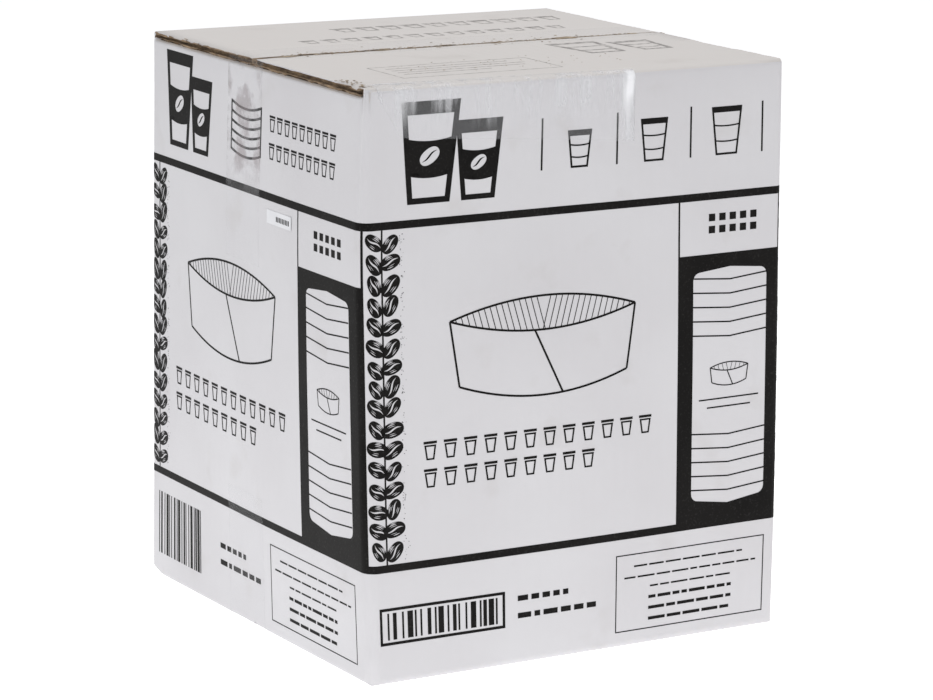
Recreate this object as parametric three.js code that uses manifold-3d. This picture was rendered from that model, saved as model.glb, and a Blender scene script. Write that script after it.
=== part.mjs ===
// A sealed shipping carton of corrugated board: white face, black print, clear closing tapes and a sticker.
// Lengths are in millimetres. X runs along the front panel, Y runs to the back and Z runs up from the base.

import * as THREE from "three";
import { mergeVertices } from "three/addons/utils/BufferGeometryUtils.js";
import Module from "manifold-3d";

const wasm = await Module();
wasm.setup();

// Carton
const cartonWidth = 293; // left to right, along the front panel
const cartonDepth = 300; // front to back
const cartonHeight = 362;
const boardThickness = 4;
const cornerRadius = 5; // upright scores between the panels
const softCornerRadius = 8; // the front left corner has been knocked soft
const flapFoldRadius = 4.5; // where the front and back panels fold into the outer flaps
const sideFoldRadius = 3; // where the side panels fold into the inner flaps
const flapEndInset = 1.2; // the top outer flaps end just short of the side panels
const bottomFlapInset = 5; // the bottom ones end inside the side folds, which the load has pressed down
const bottomFlapGap = 0.8;
const flapGap = 0.8; // open gap between the inner and the outer flap
const flapGapDepth = 7;
const topSeamLeftGap = 5; // the torn end of the top seam
const topSeamRightGap = 1.4;
const bottomSeamGap = 1.6;
const seamDepth = 3.2;
const glueJointGap = 1; // the panel edge at the back right corner, where the blank is glued to its tab
const glueJointDepth = 3;
const cornerSteps = 8;
const foldSteps = 5;

// Tapes and sticker
const tapeWidth = 48;
const tapeThickness = 0.25;
const tapeOffset = 10; // the closing tapes run behind the middle of the carton
const topTailLeft = 128;
const topTailRight = 66;
const bottomTailLeft = 86;
const bottomTailRight = 58;
const frontTapeLength = 177; // from the soft corner
const frontTapeTear = 16; // how far the torn left end slants
const frontTapeDropLeft = 30; // how far the short tape reaches down the front panel
const frontTapeDropRight = 43;
const stickerWidth = 34;
const stickerHeight = 8.5;
const stickerTopGap = 5.5; // to the upper band
const stickerThickness = 0.1;

// Print
const headerHeight = 79.2; // from the top of the carton down to the upper band
const footerHeight = 69.7; // from the base up to the lower band
const bandHeight = 4.8;
const inkThickness = 0.1;
const cornerLineWidth = 2;
const frontColumnWidth = 76; // up to the right end of the front and back panels
const sideColumnWidth = 83;
const fieldHeight = 34; // the white field over a column
const borderLineWidth = 1.2;
const insetWidth = 54; // the stack of folded sleeves, left white in a column
const insetMargin = 11;
const insetSag = 4;
const insetCrown = 3;
const insetRadius = 5;
const stackLines = 5;
const stackLinePitch = 9;
const stackLineWidth = 1;
const stackLineMargin = 7.5;
const sleeveWidth = 128;
const sleeveHeight = 40.5;
const sleeveDrop = 59; // from the upper band to the corners of the sleeve's mouth
const sleeveTaper = 6;
const sleeveArc = 10.5;
const sleeveStroke = 1.3;
const sleeveSeamTop = 0.45; // shares of the sleeve drawing's width
const sleeveSeamBottom = 0.6;
const sleeveArcSteps = 10;
const hatchLines = 10;
const hatchWidth = 0.6;
const hatchLean = 0.3;
const barsWidth = 87;
const barsHeight = 23;
const barsDrop = 22; // from the lower band
const barsFrame = 1.8;
const barModules = [1, 2, 2, 3, 1, 2, 3, 1, 1, 2, 1, 3, 2, 2, 1, 1, 3, 2, 1]; // ink, gap, ink and so on
const noteWidth = 110.3;
const noteLead = 43.7; // the note frame starts this far before the column
const noteMargin = 10;
const noteLine = 0.7;
const badgeStart = 24; // from the left end of a panel
const badgeMargin = 9;
const badgeStroke = 3;
const bigCupWidth = 40;
const smallCupWidth = 32;
const smallCupDrop = 13; // how much lower the small cup is
const cupLidHeight = 7;
const cupTaper = 6;
const cupOverlap = 3;
const cupBandTop = 0.62; // shares of a cup's height
const cupBandBottom = 0.3;
const cupBandStroke = 2.1;
const sprigWidth = 27; // the strip that the bean sprig fills
const sprigStem = 1.1;
const beanLength = 14.5;
const beanBreadth = 9.6;
const beanPitch = 12.5;
const beanTilt = 0.7; // radians
const beanSteps = 5;
const slitLength = 10.5;
const slitBreadth = 1.5;

const upperBandTop = cartonHeight - headerHeight;
const upperBandBottom = upperBandTop - bandHeight;
const lowerBandBottom = footerHeight;
const lowerBandTop = lowerBandBottom + bandHeight;
const columnTop = upperBandBottom - fieldHeight;
const insetBottom = lowerBandTop + insetMargin + insetSag / 2;
const insetTop = columnTop - insetMargin;
const sleeveTop = upperBandBottom - sleeveDrop;
const sleeveBottom = sleeveTop - sleeveHeight;
const halfWidth = cartonWidth / 2;
const halfDepth = cartonDepth / 2;
const reach = 4 * cartonHeight; // longer than the carton, for cutting tools

// Materials
const whiteBoard = new THREE.MeshStandardMaterial({ color: 0xd8d7d9, roughness: 0.75, metalness: 0 });
const blackInk = new THREE.MeshStandardMaterial({ color: 0x262322, roughness: 0.55, metalness: 0 });
const clearTape = new THREE.MeshStandardMaterial({
  color: 0xe4e2df,
  roughness: 0.2,
  metalness: 0,
  transparent: true,
  opacity: 0.35,
});
const stickerPaper = new THREE.MeshStandardMaterial({ color: 0xf2f2f4, roughness: 0.6, metalness: 0 });

// Solids

function solidOf(geometry, matrix = new THREE.Matrix4()) {
  const bare = geometry.clone().applyMatrix4(matrix);
  bare.deleteAttribute("normal");
  bare.deleteAttribute("uv");
  const merged = mergeVertices(bare);
  return new wasm.Manifold(
    new wasm.Mesh({
      numProp: 3,
      vertProperties: new Float32Array(merged.attributes.position.array),
      triVerts: new Uint32Array(merged.index.array),
    }),
  );
}

function joined(geometries, matrix) {
  return geometries.map((geometry) => solidOf(geometry, matrix)).reduce((sum, solid) => sum.add(solid));
}

function meshOf(name, solid, material) {
  const { vertProperties, triVerts } = solid.getMesh();
  const geometry = new THREE.BufferGeometry();
  geometry.setAttribute("position", new THREE.BufferAttribute(vertProperties, 3));
  geometry.setIndex(new THREE.BufferAttribute(triVerts, 1));
  geometry.computeVertexNormals();
  const mesh = new THREE.Mesh(geometry, material);
  mesh.name = name;
  return mesh;
}

// A flat outline made thick along its own Z
function slab(shape, depth, curveSegments = 12) {
  return new THREE.ExtrudeGeometry(shape, { depth, bevelEnabled: false, curveSegments });
}

function shapeOf(points) {
  return new THREE.Shape(points.map(([x, y]) => new THREE.Vector2(x, y)));
}

function boxBetween(low, high) {
  const size = high.map((value, axis) => value - low[axis]);
  const geometry = new THREE.BoxGeometry(...size);
  return geometry.translate(...low.map((value, axis) => value + size[axis] / 2));
}

function arcPoints(centreX, centreY, radius, startAngle, steps) {
  return Array.from({ length: steps + 1 }, (_, i) => {
    const angle = startAngle + (i / steps) * (Math.PI / 2);
    return [centreX + radius * Math.cos(angle), centreY + radius * Math.sin(angle)];
  });
}

// The four side panels: each has u to the right and v up, seen from outside, and its normal pointing out
const frontColumn = cartonWidth - frontColumnWidth;
const sideColumn = cartonDepth - sideColumnWidth;
const panels = [
  {
    side: "front",
    width: cartonWidth,
    column: frontColumn,
    corner: [-halfWidth, -halfDepth],
    along: [1, 0],
    out: [0, -1],
    startRadius: softCornerRadius,
    endRadius: cornerRadius,
  },
  {
    side: "right",
    width: cartonDepth,
    column: sideColumn,
    corner: [halfWidth, -halfDepth],
    along: [0, 1],
    out: [1, 0],
    startRadius: cornerRadius,
    endRadius: cornerRadius,
  },
  {
    side: "back",
    width: cartonWidth,
    column: frontColumn,
    corner: [halfWidth, halfDepth],
    along: [-1, 0],
    out: [0, 1],
    startRadius: cornerRadius,
    endRadius: cornerRadius,
  },
  {
    side: "left",
    width: cartonDepth,
    column: sideColumn,
    corner: [-halfWidth, halfDepth],
    along: [0, -1],
    out: [-1, 0],
    startRadius: cornerRadius,
    endRadius: softCornerRadius,
  },
];

function panelMatrix({ corner, along, out }) {
  const u = new THREE.Vector3(...along, 0);
  const v = new THREE.Vector3(0, 0, 1);
  const n = new THREE.Vector3(...out, 0);
  return new THREE.Matrix4().makeBasis(u, v, n).setPosition(...corner, 0);
}

// The carton's outline seen from above, grown outwards by a skin
function planOutline(skin = 0) {
  const corners = [
    [-1, -1, softCornerRadius, Math.PI],
    [1, -1, cornerRadius, 1.5 * Math.PI],
    [1, 1, cornerRadius, 0],
    [-1, 1, cornerRadius, 0.5 * Math.PI],
  ];
  return corners.flatMap(([signX, signY, radius, start]) =>
    arcPoints(
      signX * (halfWidth - radius),
      signY * (halfDepth - radius),
      radius + skin,
      start,
      cornerSteps,
    ),
  );
}

// The section from front to back: the front and back panels fold over into the outer flaps
function flapSection() {
  const r = flapFoldRadius;
  return [
    ...arcPoints(-halfDepth + r, r, r, Math.PI, foldSteps),
    ...arcPoints(halfDepth - r, r, r, 1.5 * Math.PI, foldSteps),
    ...arcPoints(halfDepth - r, cartonHeight - r, r, 0, foldSteps),
    ...arcPoints(-halfDepth + r, cartonHeight - r, r, 0.5 * Math.PI, foldSteps),
  ];
}

// Half the section from left to right: an outer flap's cut end, the gap under it and the side fold
function sideSectionHalf() {
  const flapEnd = halfWidth - flapEndInset;
  const gapEnd = halfWidth - flapGapDepth;
  const foldTop = cartonHeight - boardThickness - flapGap;
  const bottomFlapEnd = halfWidth - bottomFlapInset - bottomFlapGap;
  const r = sideFoldRadius;
  return [
    [bottomFlapEnd, 0],
    [bottomFlapEnd, seamDepth],
    [bottomFlapEnd + bottomFlapGap, seamDepth],
    [bottomFlapEnd + bottomFlapGap, 0],
    ...arcPoints(halfWidth - r, r, r, 1.5 * Math.PI, foldSteps),
    ...arcPoints(halfWidth - r, foldTop - r, r, 0, foldSteps),
    [gapEnd, foldTop],
    [gapEnd, cartonHeight - boardThickness],
    [flapEnd, cartonHeight - boardThickness],
    [flapEnd, cartonHeight],
  ];
}

function mirroredSection(half) {
  return [...half, ...half.map(([x, z]) => [-x, z]).reverse()];
}

const uprightX = new THREE.Matrix4().makeBasis(
  new THREE.Vector3(0, 1, 0),
  new THREE.Vector3(0, 0, 1),
  new THREE.Vector3(1, 0, 0),
); // drawn in Y and Z, thick along X
const uprightY = new THREE.Matrix4().makeBasis(
  new THREE.Vector3(-1, 0, 0),
  new THREE.Vector3(0, 0, 1),
  new THREE.Vector3(0, 1, 0),
); // drawn in -X and Z, thick along Y

function alongX(points, low, high) {
  return solidOf(slab(shapeOf(points), high - low), uprightX.clone().setPosition(low, 0, 0));
}

function alongY(points, low, high) {
  const flipped = points.map(([x, z]) => [-x, z]);
  return solidOf(slab(shapeOf(flipped), high - low), uprightY.clone().setPosition(0, low, 0));
}

// The glued joint: a panel edge that stops just short of the back right corner
const glueJoint = solidOf(
  boxBetween(
    [halfWidth - glueJointDepth, halfDepth - cornerRadius - glueJointGap, boardThickness],
    [halfWidth + inkThickness, halfDepth - cornerRadius, cartonHeight - boardThickness],
  ),
);

function foldedCarton() {
  const upright = solidOf(slab(shapeOf(planOutline()), cartonHeight));
  const folded = alongX(flapSection(), -halfWidth, halfWidth);
  const ended = alongY(mirroredSection(sideSectionHalf()), -halfDepth, halfDepth);
  const topEnd = halfWidth - flapEndInset;
  const bottomEnd = halfWidth - sideFoldRadius;
  const middle = cartonHeight / 2;
  const hinges = [-halfDepth, halfDepth - flapFoldRadius].flatMap((y) => [
    boxBetween([-bottomEnd, y, 0], [bottomEnd, y + flapFoldRadius, middle]),
    boxBetween([-topEnd, y, middle], [topEnd, y + flapFoldRadius, cartonHeight]),
  ]);
  const topSeam = solidOf(
    slab(
      shapeOf([
        [-halfWidth, -topSeamLeftGap / 2],
        [halfWidth, -topSeamRightGap / 2],
        [halfWidth, topSeamRightGap / 2],
        [-halfWidth, topSeamLeftGap / 2],
      ]),
      seamDepth,
    ),
    new THREE.Matrix4().setPosition(0, 0, cartonHeight - seamDepth),
  );
  const bottomSeam = solidOf(
    boxBetween([-halfWidth, -bottomSeamGap / 2, 0], [halfWidth, bottomSeamGap / 2, seamDepth]),
  );
  const shell = upright.intersect(folded);
  const folds = shell.intersect(ended.add(joined(hinges)));
  return folds.subtract(topSeam).subtract(bottomSeam).subtract(glueJoint);
}

// Print

// A skin of ink that follows the carton's outline between two heights
function inkRing(bottom, top) {
  const shape = shapeOf(planOutline(inkThickness));
  shape.holes.push(new THREE.Path(planOutline().map(([x, y]) => new THREE.Vector2(x, y))));
  return solidOf(slab(shape, top - bottom), new THREE.Matrix4().setPosition(0, 0, bottom));
}

// A line of ink through points, with square ends
function stroke(points, width) {
  const path = points.map(([x, y]) => new THREE.Vector2(x, y));
  const left = [];
  const right = [];
  path.forEach((point, i) => {
    const before = point.clone().sub(path[Math.max(i - 1, 0)]);
    const after = path[Math.min(i + 1, path.length - 1)].clone().sub(point);
    const direction = before.normalize().add(after.normalize()).normalize();
    const share = Math.max(before.length() ? before.dot(direction) : 1, 0.5);
    const side = new THREE.Vector2(-direction.y, direction.x).multiplyScalar(width / 2 / share);
    left.push(point.clone().add(side));
    right.push(point.clone().sub(side));
  });
  return slab(new THREE.Shape([...right, ...left.reverse()]), inkThickness);
}

function sagLine(x0, x1, y0, y1, sag, steps) {
  const curve = new THREE.QuadraticBezierCurve(
    new THREE.Vector2(x0, y0),
    new THREE.Vector2((x0 + x1) / 2, (y0 + y1) / 2 + 2 * sag),
    new THREE.Vector2(x1, y1),
  );
  return curve.getPoints(steps).map((point) => [point.x, point.y]);
}

// A paper cup with a lid, in outline
function cupOutline(start, bottom, width, height) {
  const rim = bottom + height - cupLidHeight;
  const middle = start + width / 2;
  const outer = [
    [start + cupTaper, bottom],
    [start + width - cupTaper, bottom],
    [start + width, bottom + height],
    [start, bottom + height],
  ];
  const shape = shapeOf(outer);
  const inner = (share) => cupTaper * (1 - share) + badgeStroke;
  const share = (rim - bottom) / height;
  shape.holes.push(
    new THREE.Path(
      [
        [start + inner(badgeStroke / height), bottom + badgeStroke],
        [start + inner(share), rim],
        [start + width - inner(share), rim],
        [start + width - inner(badgeStroke / height), bottom + badgeStroke],
      ].map(([x, y]) => new THREE.Vector2(x, y)),
    ),
  );
  const bandTop = bottom + height * cupBandTop;
  const bandBottom = bottom + height * cupBandBottom;
  const bandInset = (level) => cupTaper * (1 - (level - bottom) / height) + badgeStroke / 2;
  const band = (level) =>
    stroke(
      [
        [start + bandInset(level), level],
        [middle, level - badgeStroke / 2],
        [start + width - bandInset(level), level],
      ],
      cupBandStroke,
    );
  return [slab(shape, inkThickness), band(bandTop), band(bandBottom)];
}

function cupBadge() {
  const bottom = upperBandTop + badgeMargin;
  const height = headerHeight - 2 * badgeMargin;
  const secondStart = badgeStart + bigCupWidth - cupOverlap;
  return [
    ...cupOutline(badgeStart, bottom, bigCupWidth, height),
    ...cupOutline(secondStart, bottom, smallCupWidth, height - smallCupDrop),
  ];
}

// An opened sleeve: two arcs for its mouth, one for its foot, two sides, a glued seam and hatching
function sleeveDrawing({ column }) {
  const sleeveStart = (sprigWidth + column - sleeveWidth) / 2;
  const end = sleeveStart + sleeveWidth;
  const footStart = sleeveStart + sleeveTaper;
  const footEnd = end - sleeveTaper;
  const seamTopX = sleeveStart + sleeveSeamTop * sleeveWidth;
  const seamBottomX = sleeveStart + sleeveSeamBottom * sleeveWidth;
  const arcHeight = (x, start, width) => sleeveArc * (1 - ((2 * (x - start)) / width - 1) ** 2);
  const seamTop = sleeveTop - arcHeight(seamTopX, sleeveStart, sleeveWidth);
  const seamBottom = sleeveBottom - arcHeight(seamBottomX, footStart, footEnd - footStart);
  const hatch = Array.from({ length: hatchLines }, (_, i) => {
    const x = sleeveStart + ((i + 1) * sleeveWidth) / (hatchLines + 1);
    const height = arcHeight(x, sleeveStart, sleeveWidth);
    const lean = (i < hatchLines / 2 ? 1 : -1) * height * hatchLean;
    return stroke(
      [
        [x + lean, sleeveTop - arcHeight(x + lean, sleeveStart, sleeveWidth)],
        [x - lean, sleeveTop + arcHeight(x - lean, sleeveStart, sleeveWidth)],
      ],
      hatchWidth,
    );
  });
  return [
    stroke(sagLine(sleeveStart, end, sleeveTop, sleeveTop, sleeveArc, sleeveArcSteps), sleeveStroke),
    stroke(sagLine(sleeveStart, end, sleeveTop, sleeveTop, -sleeveArc, sleeveArcSteps), sleeveStroke),
    stroke(sagLine(footStart, footEnd, sleeveBottom, sleeveBottom, -sleeveArc, sleeveArcSteps), sleeveStroke),
    stroke([[sleeveStart, sleeveTop], [footStart, sleeveBottom]], sleeveStroke),
    stroke([[end, sleeveTop], [footEnd, sleeveBottom]], sleeveStroke),
    stroke([[seamTopX, seamTop], [seamBottomX, seamBottom]], sleeveStroke),
    ...hatch,
  ];
}

function frameOutline(start, bottom, width, height, line) {
  const shape = shapeOf([
    [start, bottom],
    [start + width, bottom],
    [start + width, bottom + height],
    [start, bottom + height],
  ]);
  const hole = [
    [start + line, bottom + line],
    [start + line, bottom + height - line],
    [start + width - line, bottom + height - line],
    [start + width - line, bottom + line],
  ];
  shape.holes.push(new THREE.Path(hole.map(([x, y]) => new THREE.Vector2(x, y))));
  return slab(shape, inkThickness);
}

// Upright bars in a frame. Their widths are an even mix and stand for no number.
function barPattern({ startRadius }) {
  const barsStart = startRadius;
  const barsBottom = lowerBandBottom - barsDrop - barsHeight;
  const total = barModules.reduce((sum, value) => sum + value, 0) + 2 * barModules[1];
  const module = (barsWidth - 2 * barsFrame) / total;
  const bars = [];
  let x = barsStart + barsFrame + barModules[1] * module;
  barModules.forEach((value, i) => {
    if (i % 2 === 0) {
      const barEnd = x + value * module;
      bars.push(boxBetween([x, barsBottom, 0], [barEnd, barsBottom + barsHeight, inkThickness]));
    }
    x += value * module;
  });
  return [frameOutline(barsStart, barsBottom, barsWidth, barsHeight, barsFrame), ...bars];
}

function noteFrame({ column }) {
  return [frameOutline(column - noteLead, noteMargin, noteWidth, footerHeight - 2 * noteMargin, noteLine)];
}

// A column of ink up to a panel's right end, with a white stack of folded sleeves left bare in it
function stackInset(insetStart) {
  const r = insetRadius;
  const end = insetStart + insetWidth;
  const middle = insetStart + insetWidth / 2;
  return slab(
    shapeOf([
      ...arcPoints(insetStart + r, insetBottom + r, r, Math.PI, foldSteps),
      [middle, insetBottom - insetSag],
      ...arcPoints(end - r, insetBottom + r, r, 1.5 * Math.PI, foldSteps),
      ...arcPoints(end - r, insetTop - r, r, 0, foldSteps),
      [middle, insetTop + insetCrown],
      ...arcPoints(insetStart + r, insetTop - r, r, 0.5 * Math.PI, foldSteps),
    ]),
    inkThickness,
  );
}

function stackLine(insetStart, level) {
  return stroke(
    [
      [insetStart - stackLineWidth, level],
      [insetStart + insetWidth / 2, level - insetSag],
      [insetStart + insetWidth + stackLineWidth, level],
    ],
    stackLineWidth,
  );
}

function stackDrawing(insetStart) {
  const steps = Array.from({ length: stackLines }, (_, i) => stackLineMargin + i * stackLinePitch);
  const low = steps.map((step) => insetBottom + step);
  const high = steps.map((step) => insetTop + insetSag - step);
  return [...low, ...high].map((level) => stackLine(insetStart, level));
}

// One bean seen from its flat side, with the slit left bare
function bean(centreX, centreY, angle) {
  const shape = new THREE.Shape();
  shape.absellipse(centreX, centreY, beanLength / 2, beanBreadth / 2, 0, 2 * Math.PI, false, angle);
  const half = slitLength / 2;
  const turn = (x, y) =>
    new THREE.Vector2(
      centreX + x * Math.cos(angle) - y * Math.sin(angle),
      centreY + x * Math.sin(angle) + y * Math.cos(angle),
    );
  shape.holes.push(
    new THREE.Path([turn(-half, 0), turn(0, slitBreadth), turn(half, 0), turn(0, -slitBreadth / 3)]),
  );
  return slab(shape, inkThickness, beanSteps);
}

// A sprig with beans in pairs on a straight stem, from one band to the other
function beanSprig() {
  const span = upperBandBottom - lowerBandTop;
  const count = Math.floor(span / beanPitch);
  const first = lowerBandTop + (span - (count - 1) * beanPitch) / 2;
  const centre = sprigWidth / 2;
  const offset = (beanLength / 2) * Math.cos(beanTilt);
  const levels = Array.from({ length: count }, (_, i) => first + i * beanPitch);
  const beans = levels.flatMap((level) =>
    [-1, 1].map((way) => bean(centre + way * offset, level, way * beanTilt)),
  );
  const stem = boxBetween(
    [centre - sprigStem / 2, lowerBandBottom + bandHeight / 2, 0],
    [centre + sprigStem / 2, upperBandBottom + bandHeight / 2, inkThickness],
  );
  return [stem, ...beans];
}

// Everything black that hangs together: two bands, a line up each corner, the columns and the sprigs
function printedFrame() {
  const columnRing = inkRing(lowerBandBottom + bandHeight / 2, columnTop);
  const lineRing = inkRing(lowerBandBottom + bandHeight / 2, upperBandBottom + bandHeight / 2);
  let print = inkRing(lowerBandBottom, lowerBandTop).add(inkRing(upperBandBottom, upperBandTop));
  for (const panel of panels) {
    const matrix = panelMatrix(panel);
    const insetStart = panel.column + insetMargin;
    const past = panel.endRadius * (1 - Math.SQRT1_2);
    const columnTool = boxBetween(
      [panel.column, 0, -past],
      [panel.width + inkThickness, columnTop, inkThickness],
    );
    const lineTool = boxBetween(
      [panel.width - past - cornerLineWidth, 0, -past - cornerLineWidth],
      [panel.width + inkThickness, upperBandTop, -past],
    );
    const sprigTool = boxBetween([panel.startRadius, 0, 0], [2 * sprigWidth, cartonHeight, inkThickness]);
    const border = boxBetween(
      [panel.column, columnTop - borderLineWidth, 0],
      [panel.column + borderLineWidth, upperBandBottom + bandHeight / 2, inkThickness],
    );
    print = print
      .add(columnRing.intersect(solidOf(columnTool, matrix)))
      .subtract(solidOf(stackInset(insetStart), matrix))
      .add(joined([...stackDrawing(insetStart), border], matrix))
      .add(joined(beanSprig(), matrix).intersect(solidOf(sprigTool, matrix)))
      .add(lineRing.intersect(solidOf(lineTool, matrix)));
  }
  return print.subtract(glueJoint);
}

const drawings = {
  cup_badge: cupBadge,
  sleeve_drawing: sleeveDrawing,
  bar_pattern: barPattern,
  note_frame: noteFrame,
};

function panelDrawings(panel) {
  return Object.values(drawings).flatMap((draw) => draw(panel));
}

// Tapes

// A closing tape over a seam, with a tail down the left panel and another down the right panel
function closingTape(tailLeft, tailRight, bend) {
  const rightSide = (skin, tail) => [[halfWidth + skin, cartonHeight - tail], ...bend(skin)];
  const across = (skin) => [
    ...rightSide(skin, tailLeft).map(([x, z]) => [-x, z]),
    ...rightSide(skin, tailRight).reverse(),
  ];
  return [...across(tapeThickness), ...across(0).reverse()];
}

// Over the top flap ends the tape is stretched straight
function straightBend(skin) {
  const shoulder = cartonHeight - boardThickness - flapGap - sideFoldRadius;
  return [[halfWidth + skin, shoulder], [halfWidth - flapEndInset + skin, cartonHeight + skin]];
}

// Round the bottom folds it follows the board
function roundBend(skin) {
  const r = sideFoldRadius;
  return arcPoints(halfWidth - r, cartonHeight - r, r + skin, 0, foldSteps);
}

function tapeStrip(section) {
  return alongY(section, tapeOffset - tapeWidth / 2, tapeOffset + tapeWidth / 2);
}

function turnedOver(section) {
  return section.map(([x, z]) => [x, cartonHeight + tapeThickness - z]).reverse();
}

// The short tape over the front edge: it follows the fold, is laid askew, and its left end is torn on a slant
function frontEdgeTape() {
  const r = flapFoldRadius;
  const foldY = -halfDepth + r;
  const foldZ = cartonHeight - r;
  const lowest = cartonHeight - frontTapeDropRight;
  const furthest = -halfDepth + tapeWidth - frontTapeDropLeft;
  const inner = [
    [-halfDepth, lowest],
    ...arcPoints(foldY, foldZ, r, 0.5 * Math.PI, foldSteps).reverse(),
    [furthest, cartonHeight],
  ];
  const outer = [
    [furthest, cartonHeight + tapeThickness],
    ...arcPoints(foldY, foldZ, r + tapeThickness, 0.5 * Math.PI, foldSteps),
    [-halfDepth - tapeThickness, lowest],
  ];
  const start = -halfWidth + softCornerRadius;
  const end = start + frontTapeLength;
  const cover = alongX([...inner, ...outer].reverse(), start, end);
  const frontTool = alongY(
    [
      [start + frontTapeTear, cartonHeight - frontTapeDropLeft],
      [end, cartonHeight - frontTapeDropRight],
      [end, 2 * cartonHeight],
      [start, 2 * cartonHeight],
      [start, cartonHeight],
    ],
    -reach,
    reach,
  );
  const topTool = solidOf(
    slab(
      shapeOf([
        [start, -reach],
        [end, -reach],
        [end, -halfDepth + tapeWidth - frontTapeDropRight],
        [start, furthest],
      ]),
      2 * cartonHeight,
    ),
  );
  return cover.intersect(frontTool).intersect(topTool);
}

// The sticker sits midway between the closing tape and the column
function sticker({ column }) {
  const tapeEdge = halfDepth - tapeOffset + tapeWidth / 2;
  const start = (tapeEdge + column - stickerWidth) / 2;
  const top = upperBandBottom - stickerTopGap;
  return boxBetween([start, top - stickerHeight, 0], [start + stickerWidth, top, stickerThickness]);
}

// The assembly
const framePrint = printedFrame();
const panelPrint = panels
  .map((panel) => joined(panelDrawings(panel), panelMatrix(panel)))
  .reduce((sum, solid) => sum.add(solid));
const allPrint = framePrint.add(panelPrint);
const topSection = closingTape(topTailLeft, topTailRight, straightBend);
const bottomSection = turnedOver(closingTape(bottomTailLeft, bottomTailRight, roundBend));
const topTape = tapeStrip(topSection).subtract(allPrint);
const bottomTape = tapeStrip(bottomSection).subtract(allPrint);

const model = new THREE.Group();
model.add(meshOf("carton", foldedCarton().subtract(bottomTape), whiteBoard));
model.add(meshOf("top_seam_tape", topTape, clearTape));
model.add(meshOf("bottom_seam_tape", bottomTape, clearTape));
model.add(meshOf("front_edge_tape", frontEdgeTape().subtract(allPrint), clearTape));
model.add(meshOf("printed_frame", framePrint, blackInk));

for (const panel of panels) {
  const face = new THREE.Group();
  face.applyMatrix4(panelMatrix(panel));
  for (const [drawing, draw] of Object.entries(drawings)) {
    face.add(meshOf(`${drawing}_${panel.side}`, joined(draw(panel)), blackInk));
  }
  if (panel.side === "left") {
    face.add(meshOf("sticker", solidOf(sticker(panel)), stickerPaper));
  }
  model.add(face);
}

export default model;
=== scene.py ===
import math
import random

import bmesh
import bpy
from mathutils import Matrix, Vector, noise


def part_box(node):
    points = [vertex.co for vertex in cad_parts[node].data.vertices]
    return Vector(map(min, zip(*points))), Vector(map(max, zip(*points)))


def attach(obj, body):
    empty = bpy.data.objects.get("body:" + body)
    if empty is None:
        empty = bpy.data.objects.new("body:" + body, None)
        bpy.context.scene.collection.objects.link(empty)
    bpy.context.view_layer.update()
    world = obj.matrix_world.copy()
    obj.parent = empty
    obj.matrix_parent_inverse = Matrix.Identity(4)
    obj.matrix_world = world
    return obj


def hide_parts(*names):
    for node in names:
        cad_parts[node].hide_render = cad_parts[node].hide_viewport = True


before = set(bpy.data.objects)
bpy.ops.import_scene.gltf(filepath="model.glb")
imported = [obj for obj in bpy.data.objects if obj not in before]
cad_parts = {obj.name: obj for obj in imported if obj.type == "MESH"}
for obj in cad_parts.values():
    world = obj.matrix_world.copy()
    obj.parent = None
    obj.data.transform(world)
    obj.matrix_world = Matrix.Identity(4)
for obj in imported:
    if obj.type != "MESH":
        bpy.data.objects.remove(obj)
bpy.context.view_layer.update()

bpy.ops.object.select_all(action="DESELECT")
bpy.context.scene.view_settings.view_transform = "Standard"
mm = 0.001

# The camera stands in front of the carton's near corner, a little above its top.
# Its place and turn come from the corners of the carton in the picture.
camera_data = bpy.data.cameras.new("camera")
camera_data.lens = 148.06
camera_data.sensor_width = 36
camera_data.clip_end = 20


def placed(name, data):
    thing = bpy.data.objects.new(name, data)
    bpy.context.collection.objects.link(thing)
    return thing


camera = placed("camera", camera_data)
camera.location = (-1.1687, -2.1111, 0.6857)
camera.rotation_euler = [math.radians(angle) for angle in (77.803, -0.26, -29.032)]
bpy.context.scene.camera = camera

# A photographer's white table, lit by wide soft lamps from the left, from above and from the right.
# The table glows around the carton and the sky shows white to the camera.
sky = bpy.data.worlds.new("studio_sky")
bpy.context.scene.world = sky
sky.use_nodes = True
sky_nodes = sky.node_tree.nodes
sky_links = sky.node_tree.links
sky_nodes.clear()
sky_rays = sky_nodes.new("ShaderNodeLightPath")
sky_fill = sky_nodes.new("ShaderNodeBackground")
sky_fill.inputs["Color"].default_value = (0.97, 0.98, 1, 1)
sky_fill.inputs["Strength"].default_value = 0.62
sky_white = sky_nodes.new("ShaderNodeBackground")
sky_white.inputs["Color"].default_value = (1, 1, 1, 1)
sky_white.inputs["Strength"].default_value = 1.1
sky_mix = sky_nodes.new("ShaderNodeMixShader")
sky_out = sky_nodes.new("ShaderNodeOutputWorld")
sky_links.new(sky_rays.outputs["Is Camera Ray"], sky_mix.inputs[0])
sky_links.new(sky_fill.outputs[0], sky_mix.inputs[1])
sky_links.new(sky_white.outputs[0], sky_mix.inputs[2])
sky_links.new(sky_mix.outputs[0], sky_out.inputs[0])

lamp_aim = Vector((0, 0, 0.18))


def soft_lamp(name, place, size, power, tint):
    data = bpy.data.lights.new(name, "AREA")
    data.shape = "RECTANGLE"
    data.size, data.size_y = size
    data.energy = power
    data.color = tint
    lamp = placed(name, data)
    lamp.location = place
    lamp.rotation_euler = (lamp_aim - Vector(place)).to_track_quat("-Z", "Y").to_euler()


soft_lamp("left_window", (-2.3, -0.7, 0.55), (1.6, 1.6), 9, (0.98, 0.99, 1))
soft_lamp("overhead", (0.2, 0.3, 2.4), (1.8, 1.8), 19, (1, 0.985, 0.965))
soft_lamp("front_fill", (0.9, -2.4, 0.6), (1.6, 1.4), 6.5, (1, 0.99, 0.985))

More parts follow.
